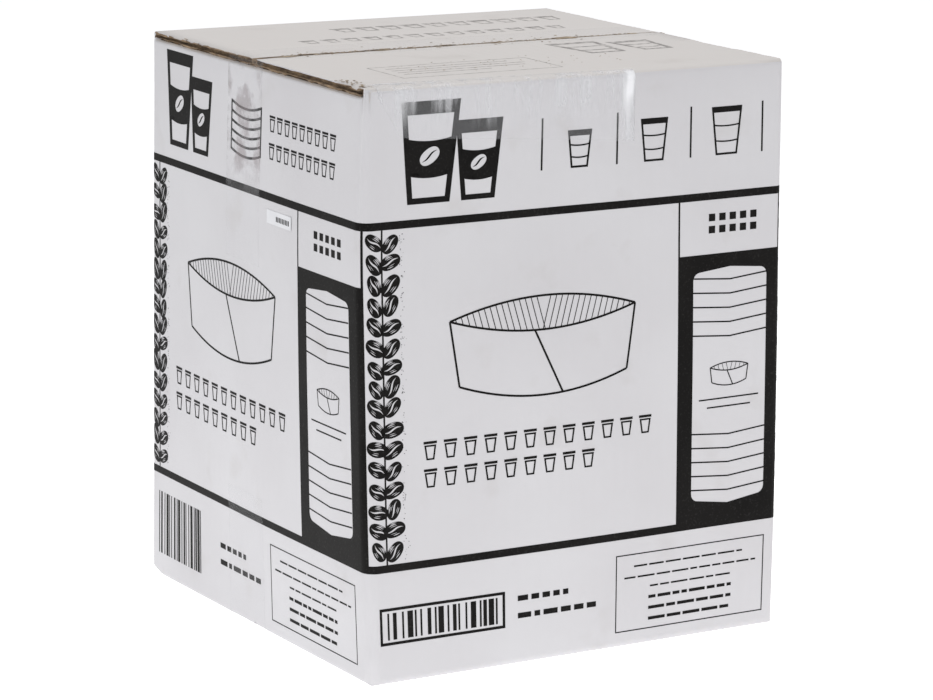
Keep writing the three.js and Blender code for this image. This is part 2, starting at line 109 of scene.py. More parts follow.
glow_near, glow_far = 0.62, 0.1
glow_reach = (0.35, 1.0)
glow_for_camera = 0.32
bpy.ops.mesh.primitive_plane_add(size=14, location=(0, 0, 0))
floor = bpy.context.object
floor.name = "floor"
floor_finish = bpy.data.materials.new("white_table")
floor_finish.use_nodes = True
floor_nodes = floor_finish.node_tree.nodes
floor_links = floor_finish.node_tree.links
floor_base = floor_nodes["Principled BSDF"]
floor_base.inputs["Base Color"].default_value = (0.9, 0.9, 0.9, 1)
floor_base.inputs["Roughness"].default_value = 0.9
floor_rays = floor_nodes.new("ShaderNodeLightPath")
floor_glow = floor_nodes.new("ShaderNodeMath")
floor_glow.operation = "MULTIPLY_ADD"
floor_glow.inputs[1].default_value = glow_for_camera
floor_place = floor_nodes.new("ShaderNodeTexCoord")
floor_reach = floor_nodes.new("ShaderNodeVectorMath")
floor_reach.operation = "LENGTH"
floor_light = floor_nodes.new("ShaderNodeMapRange")
for name, value in (("From Min", glow_reach[0]), ("From Max", glow_reach[1]),
                    ("To Min", glow_near), ("To Max", glow_far)):
    floor_light.inputs[name].default_value = value
floor_links.new(floor_place.outputs["Object"], floor_reach.inputs[0])
floor_links.new(floor_reach.outputs["Value"], floor_light.inputs["Value"])
floor_links.new(floor_light.outputs["Result"], floor_glow.inputs[2])
floor_links.new(floor_rays.outputs["Is Camera Ray"], floor_glow.inputs[0])
floor_base.inputs["Emission Color"].default_value = (1, 1, 1, 1)
floor_links.new(floor_glow.outputs[0], floor_base.inputs["Emission Strength"])
floor.data.materials.append(floor_finish)

# The carton is one blank of single-wall board, white outside and brown inside, folded and glued at a corner.
# Its outer flaps are hinged on the front and back panels and meet in a seam. Their cut ends show at the
# sides, over a narrow gap above the inner flaps.
carton_low, carton_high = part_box("carton")
width, depth, height = carton_high - carton_low
half_width, half_depth = width / 2, depth / 2
board_thickness = 4 * mm
flap_end_inset = 1.2 * mm
liner_thickness = 0.8 * mm
flute_opening = 1.6 * mm
flute_rim = 0.15 * mm
liner_curl = 0.7 * mm
flap_end_run = half_depth - 4.6 * mm
fold_gap = 1.0 * mm
fold_gap_depth = 9 * mm
fold_gap_run = half_depth - 7 * mm
bottom_fold_depth = 4.9 * mm
bottom_seam_inset = 6 * mm
seam_half = 2.6 * mm
hair = 0.1 * mm
grid_step = 18 * mm
flute_pitch = 7.8 * mm

# Full of stock, the carton has settled: its corner edges lean and its panels bulge.
# Shifts are in millimetres, to the right and to the back, at four heights from the base up.
settled_heights = (0, 0.19, 0.78, 1)
settled_corners = {
    (-1, -1): ((3.2, -3.6), (1.1, -1.0), (-2.2, 1.6), (1.0, -0.2)),
    (1, -1): ((0, 0), (1.2, 0), (-0.1, 0), (-0.4, 0)),
    (-1, 1): ((-4.0, 1.6), (-2.6, 1.0), (0.3, 0), (1.2, 0)),
    (1, 1): ((0, 0), (1, 0), (2, 0), (3, 0)),
}
front_bulge = 2.4 * mm
side_bulge = 1.6 * mm
back_corner_drop = 2.2 * mm
uneven = 0.7 * mm


def settled_shift(x, y, z):
    """How far the full carton has moved at a place given from -1 to 1 across and 0 to 1 up."""
    upper = next(i for i, level in enumerate(settled_heights) if i and z <= level + 1e-6)
    lower_level, upper_level = settled_heights[upper - 1], settled_heights[upper]
    share = (z - lower_level) / (upper_level - lower_level)
    shift = Vector((0, 0, 0))
    for (corner_x, corner_y), places in settled_corners.items():
        weight = (1 + corner_x * x) * (1 + corner_y * y) / 4
        low_place, high_place = places[upper - 1], places[upper]
        for axis in (0, 1):
            shift[axis] += weight * mm * (low_place[axis] * (1 - share) + high_place[axis] * share)
    across_x, across_y, up = math.cos(x * math.pi / 2), math.cos(y * math.pi / 2), math.sin(z * math.pi)
    shift.y += y * across_x * (front_bulge * up)
    shift.x += x * across_y * (side_bulge * up)
    if z > 0.99:
        shift.z -= back_corner_drop * (1 + x) * (1 + y) / 4
    return shift


bpy.ops.object.add(type="LATTICE", location=(0, 0, height / 2))
settling = bpy.context.object
settling.scale = (width, depth, height)
settling.data.points_u, settling.data.points_v, settling.data.points_w = 7, 7, 9
for point in settling.data.points:
    place = point.co.copy()
    shift = settled_shift(2 * place.x, 2 * place.y, place.z + 0.5)
    if abs(place.z) < 0.49:
        shift += noise.noise_vector(place * 5.3) * uneven
    point.co_deform = place + Vector((shift.x / width, shift.y / depth, shift.z / height))


def make_active(piece):
    bpy.ops.object.select_all(action="DESELECT")
    piece.select_set(True)
    bpy.context.view_layer.objects.active = piece


def settle(piece):
    """Bends a finished piece with the carton under it."""
    make_active(piece)
    bend = piece.modifiers.new("settle", "LATTICE")
    bend.object = settling
    bpy.ops.object.modifier_apply(modifier=bend.name)


def cut_grid(cuts):
    """Cuts the active mesh along planes, each given by an axis and a place on it."""
    bpy.ops.object.mode_set(mode="EDIT")
    for axis, place in cuts:
        normal = [float(axis == i) for i in range(3)]
        bpy.ops.mesh.select_all(action="SELECT")
        bpy.ops.mesh.bisect(plane_co=[place * value for value in normal], plane_no=normal)
    bpy.ops.object.mode_set(mode="OBJECT")


def evenly(start, end, step):
    count = max(1, round((end - start) / step))
    return [start + (end - start) * i / count for i in range(1, count)]


carton = placed("carton_board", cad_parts["carton"].data.copy())
make_active(carton)
bpy.ops.object.mode_set(mode="EDIT")
bpy.ops.mesh.select_all(action="SELECT")
bpy.ops.mesh.remove_doubles(threshold=0.01 * mm)
bpy.ops.mesh.tris_convert_to_quads(face_threshold=0.01, shape_threshold=0.01)
bpy.ops.object.mode_set(mode="OBJECT")
cut_grid(
    [(0, x) for x in evenly(-half_width, half_width, grid_step)]
    + [(1, y) for y in evenly(-half_depth, half_depth, grid_step / 4)]
    + [(2, z) for z in evenly(0, height, grid_step)]
)


def select_faces(piece, wanted):
    """Selects the faces of the active mesh for which wanted(centre, normal) holds."""
    make_active(piece)
    bpy.ops.object.mode_set(mode="EDIT")
    bpy.ops.mesh.select_mode(type="FACE")
    bpy.ops.mesh.select_all(action="DESELECT")
    edit = bmesh.from_edit_mesh(piece.data)
    for face in edit.faces:
        face.select_set(wanted(face.calc_center_median(), face.normal))
    bmesh.update_edit_mesh(piece.data)


def at_flap_end(centre):
    return abs(abs(centre.x) - half_width + flap_end_inset) < hair / 2


def on_flap_end(centre, normal):
    in_flap = centre.z > height - board_thickness and abs(centre.y) < flap_end_run
    return at_flap_end(centre) and in_flap and abs(normal.x) > 0.9


def in_curled_liner(centre, normal):
    return at_flap_end(centre) and centre.z > height - liner_curl and abs(normal.x) > 0.7


def in_fold_gap(centre, normal):
    under_flap = board_thickness - hair < height - centre.z < board_thickness + fold_gap
    in_top_gap = under_flap and abs(centre.y) < fold_gap_run
    in_bottom_gap = hair < centre.z < board_thickness and abs(centre.x) < half_width - bottom_fold_depth
    in_reach = abs(centre.x) > half_width - fold_gap_depth and abs(centre.y) < half_depth - 3 * hair
    return in_reach and (in_top_gap or in_bottom_gap)


def in_seam(centre, normal):
    in_top_flap = centre.z > height - board_thickness
    in_bottom_flap = centre.z < board_thickness and abs(centre.x) < half_width - bottom_seam_inset
    on_outside = abs(normal.z) > 0.9 and (centre.z > height - hair or centre.z < hair)
    return abs(centre.y) < seam_half and (in_top_flap or in_bottom_flap) and not on_outside


def paint_selected(piece, slot_number):
    """Gives the selected faces one of the piece's materials."""
    piece.active_material_index = slot_number
    bpy.ops.object.material_slot_assign()


carton.data.materials.clear()
liner = bpy.data.materials.new("white_liner")
kraft = bpy.data.materials.new("raw_kraft_edge")
carton.data.materials.append(liner)
carton.data.materials.append(kraft)
for wanted in (in_fold_gap, in_seam):
    select_faces(carton, wanted)
    paint_selected(carton, 1)
    bpy.ops.object.mode_set(mode="OBJECT")
select_faces(carton, on_flap_end)
paint_selected(carton, 1)
bpy.ops.mesh.inset(thickness=liner_thickness, depth=0, use_even_offset=False)
bpy.ops.mesh.inset(thickness=flute_rim, depth=-flute_opening, use_even_offset=False)
bpy.ops.object.mode_set(mode="OBJECT")
select_faces(carton, in_curled_liner)
paint_selected(carton, 0)
bpy.ops.object.mode_set(mode="OBJECT")

# The cut ends are crushed here and there. The white liner curls over them, most at the front and at the back.
# The left back corner of the base has been knocked up a little.
crushed_depth = 3.2 * mm
crushed_height = 3.9 * mm
front_curl, front_curl_end, front_curl_run = 2.0, 22 * mm - half_depth, 20 * mm
back_curl, back_curl_start, back_curl_run = 1.0, 60 * mm, 50 * mm
knock, knock_reach, knock_height = 5 * mm, 16 * mm, 24 * mm


def held(share):
    return min(1, max(0, share))


for vertex in carton.data.vertices:
    place = vertex.co
    from_corner = math.dist((place.x, place.y), (-half_width, half_depth))
    place.z += knock * held(1 - from_corner / knock_reach) ** 1.5 * max(0, 1 - place.z / knock_height)
    near_cut = abs(place.x) > half_width - crushed_depth
    if near_cut and height - 1.2 * mm < place.z < height - 0.6 * mm:
        to_front = held((front_curl_end - place.y) / front_curl_run)
        to_back = held((place.y - back_curl_start) / back_curl_run)
        ragged = noise.noise(Vector((place.x * 9, place.y * 90, 3)))
        place.z -= mm * max(0, front_curl * to_front + back_curl * to_back + 0.6 * ragged)
    if near_cut and place.z > height - crushed_height:
        crush = max(0, noise.noise(Vector((place.x * 3, place.y * 34, place.z * 5))))
        ripple = noise.noise(Vector((place.x * 9, place.y * 160, place.z * 240)))
        place.x -= math.copysign(1, place.x) * mm * max(0, 0.9 * crush + 0.45 * ripple)
        if place.z > height - hair:
            place.z -= mm * (1.1 * crush + 0.25 * max(0, ripple))
settle(carton)
bpy.ops.object.shade_smooth_by_angle(angle=math.radians(35))


def new_nodes(material):
    """Turns on a material's nodes and returns them, their links and the shader."""
    material.use_nodes = True
    nodes, links = material.node_tree.nodes, material.node_tree.links
    return nodes, links, nodes["Principled BSDF"]


def patchy_group():
    """A node group for uneven wear, grime and fibres: soft patches on Object coordinates, as a mask."""
    group = bpy.data.node_groups.new("patchy_mask", "ShaderNodeTree")
    for name in ("Scale", "Detail", "Low", "High"):
        group.interface.new_socket(name, in_out="INPUT", socket_type="NodeSocketFloat")
    group.interface.new_socket("Stretch", in_out="INPUT", socket_type="NodeSocketVector")
    group.interface.new_socket("Mask", in_out="OUTPUT", socket_type="NodeSocketFloat")
    nodes, links = group.nodes, group.links
    given = nodes.new("NodeGroupInput")
    coordinates = nodes.new("ShaderNodeTexCoord")
    mapping = nodes.new("ShaderNodeMapping")
    cloud = nodes.new("ShaderNodeTexNoise")
    ramp = nodes.new("ShaderNodeMapRange")
    result = nodes.new("NodeGroupOutput")
    links.new(coordinates.outputs["Object"], mapping.inputs["Vector"])
    links.new(given.outputs["Stretch"], mapping.inputs["Scale"])
    links.new(mapping.outputs["Vector"], cloud.inputs["Vector"])
    links.new(given.outputs["Scale"], cloud.inputs["Scale"])
    links.new(given.outputs["Detail"], cloud.inputs["Detail"])
    links.new(cloud.outputs["Fac"], ramp.inputs["Value"])
    links.new(given.outputs["Low"], ramp.inputs["From Min"])
    links.new(given.outputs["High"], ramp.inputs["From Max"])
    links.new(ramp.outputs["Result"], result.inputs["Mask"])
    return group


patchy_mask = patchy_group()


def patchy(nodes, scale, detail, low, high, stretch=(1, 1, 1)):
    """Places the group of patches in a material, with the material's own values."""
    patches = nodes.new("ShaderNodeGroup")
    patches.node_tree = patchy_mask
    values = {"Scale": scale, "Detail": detail, "Low": low, "High": high, "Stretch": stretch}
    for name, value in values.items():
        patches.inputs[name].default_value = value
    return patches.outputs["Mask"]


def blend_colours(nodes, links, mask, first, second):
    mix = nodes.new("ShaderNodeMix")
    mix.data_type = "RGBA"
    links.new(mask, mix.inputs["Factor"])
    for socket, colour in (("A", first), ("B", second)):
        target = next(s for s in mix.inputs if s.name == socket and s.type == "RGBA")
        if isinstance(colour, tuple):
            target.default_value = (*colour, 1)
        else:
            links.new(colour, target)
    return next(s for s in mix.outputs if s.type == "RGBA")


def maths(nodes, links, operation, first, second=None):
    node = nodes.new("ShaderNodeMath")
    node.operation = operation
    for socket, value in zip(node.inputs, (first, second)):
        if isinstance(value, (int, float)):
            socket.default_value = value
        elif value is not None:
            links.new(value, socket)
    return node.outputs[0]


def washboard(nodes, links):
    """The flutes showing faintly through the liner: upright on the panels, front to back on the flaps."""
    place = nodes.new("ShaderNodeSeparateXYZ")
    facing = nodes.new("ShaderNodeSeparateXYZ")
    coordinates = nodes.new("ShaderNodeTexCoord")
    links.new(coordinates.outputs["Object"], place.inputs[0])
    links.new(coordinates.outputs["Normal"], facing.inputs[0])
    on_side = maths(nodes, links, "GREATER_THAN", maths(nodes, links, "ABSOLUTE", facing.outputs["X"]), 0.7)
    across = maths(nodes, links, "MULTIPLY", place.outputs["Y"], on_side)
    other = maths(nodes, links, "SUBTRACT", 1.0, on_side)
    along = maths(nodes, links, "MULTIPLY", place.outputs["X"], other)
    run = maths(nodes, links, "ADD", across, along)
    return maths(nodes, links, "SINE", maths(nodes, links, "MULTIPLY", run, 2 * math.pi / flute_pitch))


def add_bump(nodes, links, shader, relief, strength, distance):
    bump = nodes.new("ShaderNodeBump")
    bump.inputs["Strength"].default_value = strength
    bump.inputs["Distance"].default_value = distance
    links.new(relief, bump.inputs["Height"])
    links.new(bump.outputs["Normal"], shader.inputs["Normal"])


def finish_liner(material, clean, dull, upward_colour):
    nodes, links, shader = new_nodes(material)
    mottle = patchy(nodes, 9, 4, 0.35, 0.7)
    grain = patchy(nodes, 900, 2, 0.3, 0.7)
    grime = patchy(nodes, 26, 8, 0.60, 0.78)
    facing = nodes.new("ShaderNodeSeparateXYZ")
    coordinates = nodes.new("ShaderNodeTexCoord")
    links.new(coordinates.outputs["Normal"], facing.inputs[0])
    # Faces that look up get a colour of their own, a little darker and warmer than the panels.
    on_top = maths(nodes, links, "GREATER_THAN", facing.outputs["Z"], 0.6)
    colour = blend_colours(nodes, links, mottle, clean, dull)
    colour = blend_colours(nodes, links, on_top, colour, upward_colour)
    grey = maths(nodes, links, "MULTIPLY", grime, 0.22)
    colour = blend_colours(nodes, links, grey, colour, (0.42, 0.38, 0.34))
    links.new(colour, shader.inputs["Base Color"])
    rough = nodes.new("ShaderNodeMapRange")
    links.new(mottle, rough.inputs["Value"])
    rough.inputs["To Min"].default_value = 0.5
    rough.inputs["To Max"].default_value = 0.66
    links.new(rough.outputs["Result"], shader.inputs["Roughness"])
    shader.inputs["Specular IOR Level"].default_value = 0.35
    waves = maths(nodes, links, "MULTIPLY", washboard(nodes, links), 0.035)
    fibres = maths(nodes, links, "MULTIPLY", grain, 0.05)
    dents = maths(nodes, links, "MULTIPLY", mottle, 0.5)
    relief = maths(nodes, links, "ADD", maths(nodes, links, "ADD", waves, fibres), dents)
    add_bump(nodes, links, shader, relief, 0.5, 1.0 * mm)


def finish_kraft(material, light, dark):
    nodes, links, shader = new_nodes(material)
    streaks = patchy(nodes, 130, 6, 0.3, 0.7, (1, 1, 3))
    links.new(blend_colours(nodes, links, streaks, dark, light), shader.inputs["Base Color"])
    shader.inputs["Roughness"].default_value = 0.9
    add_bump(nodes, links, shader, streaks, 0.8, 0.8 * mm)


finish_liner(liner, (0.675, 0.665, 0.68), (0.635, 0.62, 0.635), (0.65, 0.62, 0.60))
finish_kraft(kraft, (0.34, 0.235, 0.14), (0.085, 0.055, 0.035))
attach(carton, "root")
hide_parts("carton")

# Black ink from one printing plate covers the four panels: two bands, and between them a sprig of beans, an
# open sleeve and a stack of folded sleeves, with cups above, and bars and a frame for notes below. Drawings
# are laid out in millimetres along a panel and up it, and their ends wrap round the panel's corners.
ink_gap = 0.02 * mm
ink_thickness = 0.08 * mm
sharp_corner, soft_corner = 5 * mm, 8 * mm
upper_band = (278.0, 282.8)
lower_band = (69.7, 74.5)
column_start, column_top = 217, 244
window_start, window_end = column_start + 11, column_start + 65
window_low, window_high = 87.5, 233
window_corner, window_sag, window_crown = 5, 3.2, 2.2
border_width = 1.2
corner_line = 2
badge_low = 291.8
header_low = 305.5
caption_pitch, caption_size = 13.6, 11.5
arc_grid = 1 * mm
panels = {
    "front": {"corner": (-1, -1), "along": (1, 0), "length": width, "radii": (soft_corner, sharp_corner)},
    "right": {"corner": (1, -1), "along": (0, 1), "length": depth, "radii": (sharp_corner, sharp_corner)},
    "back": {"corner": (1, 1), "along": (-1, 0), "length": width, "radii": (sharp_corner, sharp_corner)},
    "left": {"corner": (-1, 1), "along": (0, -1), "length": depth, "radii": (sharp_corner, soft_corner)},
}


def rectangle(left, low, right, high):
    return [(left, low), (right, low), (right, high), (left, high)]


def frame_loops(left, low, right, high, line):
    return [rectangle(left, low, right, high), rectangle(left + line, low + line, right - line, high - line)]


def stroke(points, line):
    """The outline of a pen line through some points."""
    half = line / 2
    left, right = [], []
    for i, (x, y) in enumerate(points):
        before, after = points[max(i - 1, 0)], points[min(i + 1, len(points) - 1)]
        run = Vector((after[0] - before[0], after[1] - before[1])).normalized()
        left.append((x - run.y * half, y + run.x * half))
        right.append((x + run.y * half, y - run.x * half))
    return right + left[::-1]


def arc_line(start, end, low, sag, steps=16):
    """Points along a shallow arc that hangs below or stands above its ends."""
    return [(start + (end - start) * i / steps, low + 4 * sag * (i / steps) * (1 - i / steps))
            for i in range(steps + 1)]


def bent_line(start, end, low, sag):
    """Two straight runs that meet a little above or below their ends."""
    return [(start, low), ((start + end) / 2, low + sag), (end, low)]


def rounded_box(left, low, right, high, radius, bottom_sag=0, top_crown=0, steps=5):
    corners = ((right - radius, low + radius, -90), (right - radius, high - radius, 0),
               (left + radius, high - radius, 90), (left + radius, low + radius, 180))
    points = []
    for number, (x, y, start) in enumerate(corners):
        for i in range(steps + 1):
            angle = math.radians(start + 90 * i / steps)
            points.append((x + radius * math.cos(angle), y + radius * math.sin(angle)))
        if number == 1:
            points += bent_line(left + radius, right - radius, high, top_crown)[-2:0:-1]
        if number == 3:
            points += bent_line(left + radius, right - radius, low, -bottom_sag)[1:-1]
    return points


def turned(points, x, y, angle):
    c, s = math.cos(angle), math.sin(angle)
    return [(x + px * c - py * s, y + px * s + py * c) for px, py in points]


def bean_loops(x, y, angle, length, breadth, dice):
    """One roasted bean: a dark oval with a bent slit and bright slivers on both sides of it."""
    outline = [(length / 2 * math.cos(a), breadth / 2 * math.sin(a) * (1 + 0.06 * math.cos(2 * a)))
               for a in (2 * math.pi * i / 24 for i in range(24))]
    bend = dice.uniform(0.5, 0.8)
    slit = [(length * (t - 0.5) * 0.86, bend * math.sin((t - 0.5) * 2 * math.pi))
            for t in (i / 10 for i in range(11))]
    upper = [(px, py + 0.75 * math.sin(math.pi * i / 10)) for i, (px, py) in enumerate(slit)]
    lower = [(px, py - 0.4 * math.sin(math.pi * i / 10)) for i, (px, py) in enumerate(slit)]
    loops = [outline, upper + lower[-2:0:-1]]
    slivers = ((0.42, 0.30, 0.36), (0.62, 0.30, 0.58), (0.81, 0.24, 0.44),
               (-0.45, 0.26, 0.32), (-0.68, 0.28, 0.48))
    for level, reach, thick in slivers:
        start = dice.uniform(-0.12, 0.1)
        top, under = [], []
        for i in range(6):
            t = i / 5
            px = length * (start + reach * (t - 0.5) * 2) / 2 * 1.3
            rise = math.sqrt(max(0, 1 - (2 * px / length) ** 2)) * breadth / 2 * level
            top.append((px, rise + thick * math.sin(math.pi * t)))
            under.append((px, rise - thick * 0.2 * math.sin(math.pi * t)))
        loops.append(top + under[-2:0:-1])
    return [turned(loop, x, y, angle) for loop in loops]


def sprig_sets(dice):
    """Beans in pairs on a stem, from one band to the other, with small specks of chaff beside them."""
    centre, first, pitch, tilt = 13.5, 82.5, 12.5, 0.7
    length, breadth = 14.5, 9.6
    pair_count, speck_count = 16, 110
    beans, specks = [], []
    for i in range(pair_count):
        for way in (-1, 1):
            grown = dice.uniform(0.9, 1.06)
            beans.append(bean_loops(
                centre + way * length / 2 * math.cos(tilt), first + i * pitch + dice.uniform(-1, 1),
                way * tilt + dice.uniform(-0.5, 0.5), length * grown, breadth * grown, dice))
    stem = stroke([(centre, lower_band[1]), (centre, upper_band[0])], 1.1)
    for i in range(speck_count):
        x, y = dice.uniform(25, 26.5 + dice.random() * 3), dice.uniform(lower_band[1] + 2, upper_band[0] - 2)
        size = dice.uniform(0.18, 0.42)
        specks.append([(x + size * math.cos(a), y + size * math.sin(a) * 0.8)
                       for a in (2 * math.pi * k / 5 for k in range(5))])
    return beans + [[stem], specks]


def sleeve_sets(left, right, top, bottom, arc, pen, hatch_count):
    """An opened sleeve: a lens for its mouth, hatched inside, and a curved wall with a slanting seam."""
    taper = (right - left) * 0.047
    foot_left, foot_right = left + taper, right - taper
    seam_top, seam_foot = left + 0.45 * (right - left), left + 0.6 * (right - left)

    def drop(x, start, end):
        return arc * (1 - ((2 * x - start - end) / (end - start)) ** 2)

    lines = [
        stroke(arc_line(left, right, top, arc, 24), pen),
        stroke(arc_line(left, right, top, -arc, 24), pen),
        stroke(arc_line(foot_left, foot_right, bottom, -arc, 24), pen),
        stroke([(left, top), (foot_left, bottom)], pen),
        stroke([(right, top), (foot_right, bottom)], pen),
        stroke([(seam_top, top - drop(seam_top, left, right)),
                (seam_foot, bottom - drop(seam_foot, foot_left, foot_right))], pen),
    ]
    hatching = []
    for i in range(hatch_count):
        x = left + (i + 1) * (right - left) / (hatch_count + 1)
        rise = drop(x, left, right)
        lean = (1 if i < hatch_count / 2 else -1) * rise * 0.55
        hatching.append(stroke([(x + lean * 0.5, top - drop(x + lean * 0.5, left, right)),
                                (x - lean * 0.5, top + drop(x - lean * 0.5, left, right))], pen * 0.4))
    return [[line] for line in lines] + [hatching]


def cup_loops(left, bottom, cup_width, cup_height, pen, lid):
    """A lidded paper cup in outline, with a sleeve round its middle."""
    taper = cup_width * 0.15
    right = left + cup_width
    rim = bottom + cup_height - lid

    def wall(level):
        return taper * (1 - (level - bottom) / cup_height)

    outer = [(left + taper, bottom), (right - taper, bottom),
             (right, bottom + cup_height), (left, bottom + cup_height)]
    inner = [(left + wall(level) + pen, level) for level in (bottom + pen, rim)]
    inner += [(right - wall(level) - pen, level) for level in (rim, bottom + pen)]
    sets = [[outer, inner]]
    for share in (0.62, 0.3):
        level = bottom + cup_height * share
        inset = wall(level) + pen / 2
        sets.append([stroke(arc_line(left + inset, right - inset, level, -pen * 0.55, 8), pen * 0.7)])
    return sets


def badge_sets(dice):
    """Two lidded cups at the upper left of a panel, each with a dark sleeve and a bean on it."""
    sets = []
    for left, cup_width, cup_height, pen in ((24, 40, 61.2, 3.6), (61, 32, 48.2, 3.2)):
        sets += cup_loops(left, badge_low, cup_width, cup_height, pen, 8)
        low, high, taper = badge_low + cup_height * 0.3, badge_low + cup_height * 0.62, cup_width * 0.15
        foot_in, rim_in = taper * 0.7, taper * 0.38
        wrap = arc_line(left + foot_in, left + cup_width - foot_in, low, -pen * 0.55, 8)
        wrap += arc_line(left + rim_in, left + cup_width - rim_in, high, -pen * 0.55, 8)[::-1]
        middle = (left + cup_width / 2, (low + high) / 2)
        bean = bean_loops(*middle, 0.6, cup_width * 0.36, cup_width * 0.24, dice)
        sets.append([wrap, bean[0], bean[1]])
    return sets


def stack_sets():
    """The white stack of folded sleeves in the column: bent lines, a small sleeve and two rules."""
    middle = (window_start + window_end) / 2
    first_low, first_high, pitch, overlap = 95, 229.5, 9, 0.4
    lines = []
    for i in range(5):
        for level in (first_low + pitch * i, first_high - pitch * i):
            lines.append([stroke(bent_line(window_start - overlap, window_end + overlap, level, -2.4), 0.9)])
    sets = lines + sleeve_sets(middle - 14, middle + 14, 172, 162.5, 2.6, 0.7, 8)
    sets.append([rectangle(middle - 22, 151.5, middle + 22, 152.4)])
    sets.append([rectangle(middle - 16, 146.2, middle + 16, 147.1)])
    return sets


def bar_loops(left, low, bars_width, bars_height, line):
    """A plain field of upright bars of mixed widths."""
    modules = [1, 2, 2, 3, 1, 2, 3, 1, 1, 2, 1, 3, 2, 2, 1, 1, 3, 2,
               1, 2, 2, 1, 1, 3, 1, 2, 3, 2, 1, 1, 2, 1, 3, 1, 1]
    loops = []
    margin = 3.5 if line else 0
    step = (bars_width - 2 * line - 2 * margin) / sum(modules)
    place = left + line + margin
    for i, count in enumerate(modules):
        if i % 2 == 0:
            loops.append(rectangle(place, low + line + margin * 0.4, place + count * step,
                                   low + bars_height - line - margin * 0.4))
        place += count * step
    return loops


def small_cups(left, low, count, pitch, size):
    """A row of plain little cups."""
    loops = []
    for i in range(count):
        x = left + i * pitch
        body = [(x + size * 0.12, low), (x + size * 0.58, low),
                (x + size * 0.7, low + size * 0.8), (x, low + size * 0.8)]
        hollow = [(x + size * 0.2, low + size * 0.09), (x + size * 0.5, low + size * 0.09),
                  (x + size * 0.59, low + size * 0.71), (x + size * 0.11, low + size * 0.71)]
        lid = rectangle(x - size * 0.04, low + size * 0.86, x + size * 0.74, low + size)
        loops += [body, hollow, lid]
    return loops


def dashes(middle, low, row_width, thickness, dice, gap=1.6):
    """One centred row of short dashes of mixed lengths."""
    loops, place, end = [], middle - row_width / 2, middle + row_width / 2
    while place < end - 2:
        long = min(dice.uniform(4, 13), end - place)
        loops.append(rectangle(place, low, place + long, low + thickness))
        place += long + gap
    return loops


def count_marks(left, low, columns, rows, pitch, size):
    """A small block of square marks, one for each pack in the carton."""
    return [rectangle(left + pitch * i, low + pitch * k, left + pitch * i + size, low + pitch * k + size)
            for i in range(columns) for k in range(rows)]


def front_header():
    """Three cup sizes between upright dividers."""
    sets = [[rectangle(u - 0.6, header_low, u + 0.6, 337) for u in (120, 172.5, 225, 277)]]
    for centre, cup_height in ((146.2, 23), (198.7, 26.5), (251, 30)):
        cup_width = cup_height * 0.74
        sets += cup_loops(centre - cup_width / 2, header_low, cup_width, cup_height, 1.3, 3.6)
    return sets


def side_header():
    """A stack of folded sleeves and two rows of little cups."""
    sets = [[stroke(arc_line(122, 164, level, -3.4), 1.6)] for level in (303, 309, 315, 321, 327, 333)]
    sets.append([rectangle(121.4, 302.4, 123, 333.6)])
    sets.append([rectangle(163, 302.4, 164.6, 333.6)])
    for low in (320.5, 303.5):
        sets.append(small_cups(176, low, 9, 10.2, 10))
    return sets


def panel_sets(panel, name):
    """All the drawings of one panel, as sets of outlines that are each filled by themselves."""
    length = round(panel["length"] / mm)
    on_side = name in ("left", "right")
    window = rounded_box(window_start, window_low, window_end + (1 if on_side else 0), window_high,
                         window_corner, window_sag, window_crown)
    sets = [
        [rectangle(0, upper_band[0], length, upper_band[1])],
        [rectangle(0, lower_band[0], length, lower_band[1])],
        [rectangle(column_start, lower_band[1], length, column_top), window],
        [rectangle(column_start, column_top, column_start + border_width, upper_band[0])],
        [rectangle(length - corner_line, column_top, length, upper_band[0])],
    ]
    sets += sprig_sets(random.Random(f"beans {name}"))
    sets += sleeve_sets(58, 186, 219, 178.5, 10.5, 1.3, 30)
    sets += stack_sets()
    sets += badge_sets(random.Random(3))
    sets.append(count_marks(column_start + 22, 257, 5, 2, 7.6, 4.6))
    for low, count in ((136, 12), (119, 9)):
        sets.append(small_cups(40, low, count, caption_pitch, caption_size))
    sets.append(frame_loops(column_start - 43.7, 10, column_start + 66.6, 59.7, 0.7))
    dice = random.Random(5)
    note_rows = ((51, 84, 1.1), (44, 98, 1.1), (37, 60, 1.1), (29.5, 62, 2), (22.5, 62, 2), (15.5, 62, 2))
    for level, row_width, thickness in note_rows:
        sets.append(dashes(column_start + 11.5, level, row_width, thickness, dice))
    sets.append(dashes(121, 40.5, 36, 3.4, dice, 2.4))
    sets.append(dashes(131, 29.5, 56, 3.4, dice, 2.4))
    if on_side:
        sets.append(bar_loops(12.5, 16, 62, 42, 0))
        sets += side_header()
    else:
        sets.append(frame_loops(7, 24.7, 94, 47.7, 1.8))
        sets.append(bar_loops(7, 24.7, 87, 23, 1.8))
        sets += front_header()
    return sets


def flat_ink(name, sets):
    """Fills the outlines in each set and returns them as one flat mesh, still in panel coordinates."""
    bpy.ops.object.select_all(action="DESELECT")
    for number, loops in enumerate(sets):
        outline = bpy.data.curves.new(f"{name}_{number}", "CURVE")
        outline.dimensions = "2D"
        outline.fill_mode = "BOTH"
        for loop in loops:
            spline = outline.splines.new("POLY")
            spline.points.add(len(loop) - 1)
            for point, (u, v) in zip(spline.points, loop):
                point.co = (u * mm, v * mm, 0, 1)
            spline.use_cyclic_u = True
        shape = placed(outline.name, outline)
        shape.select_set(True)
        bpy.context.view_layer.objects.active = shape
    bpy.ops.object.convert(target="MESH")
    bpy.ops.object.join()
    flat = bpy.context.object
    flat.name = name
    return flat


def face_up(flat):
    select_faces(flat, lambda centre, normal: normal.z < 0)
    bpy.ops.mesh.flip_normals()
    bpy.ops.object.mode_set(mode="OBJECT")


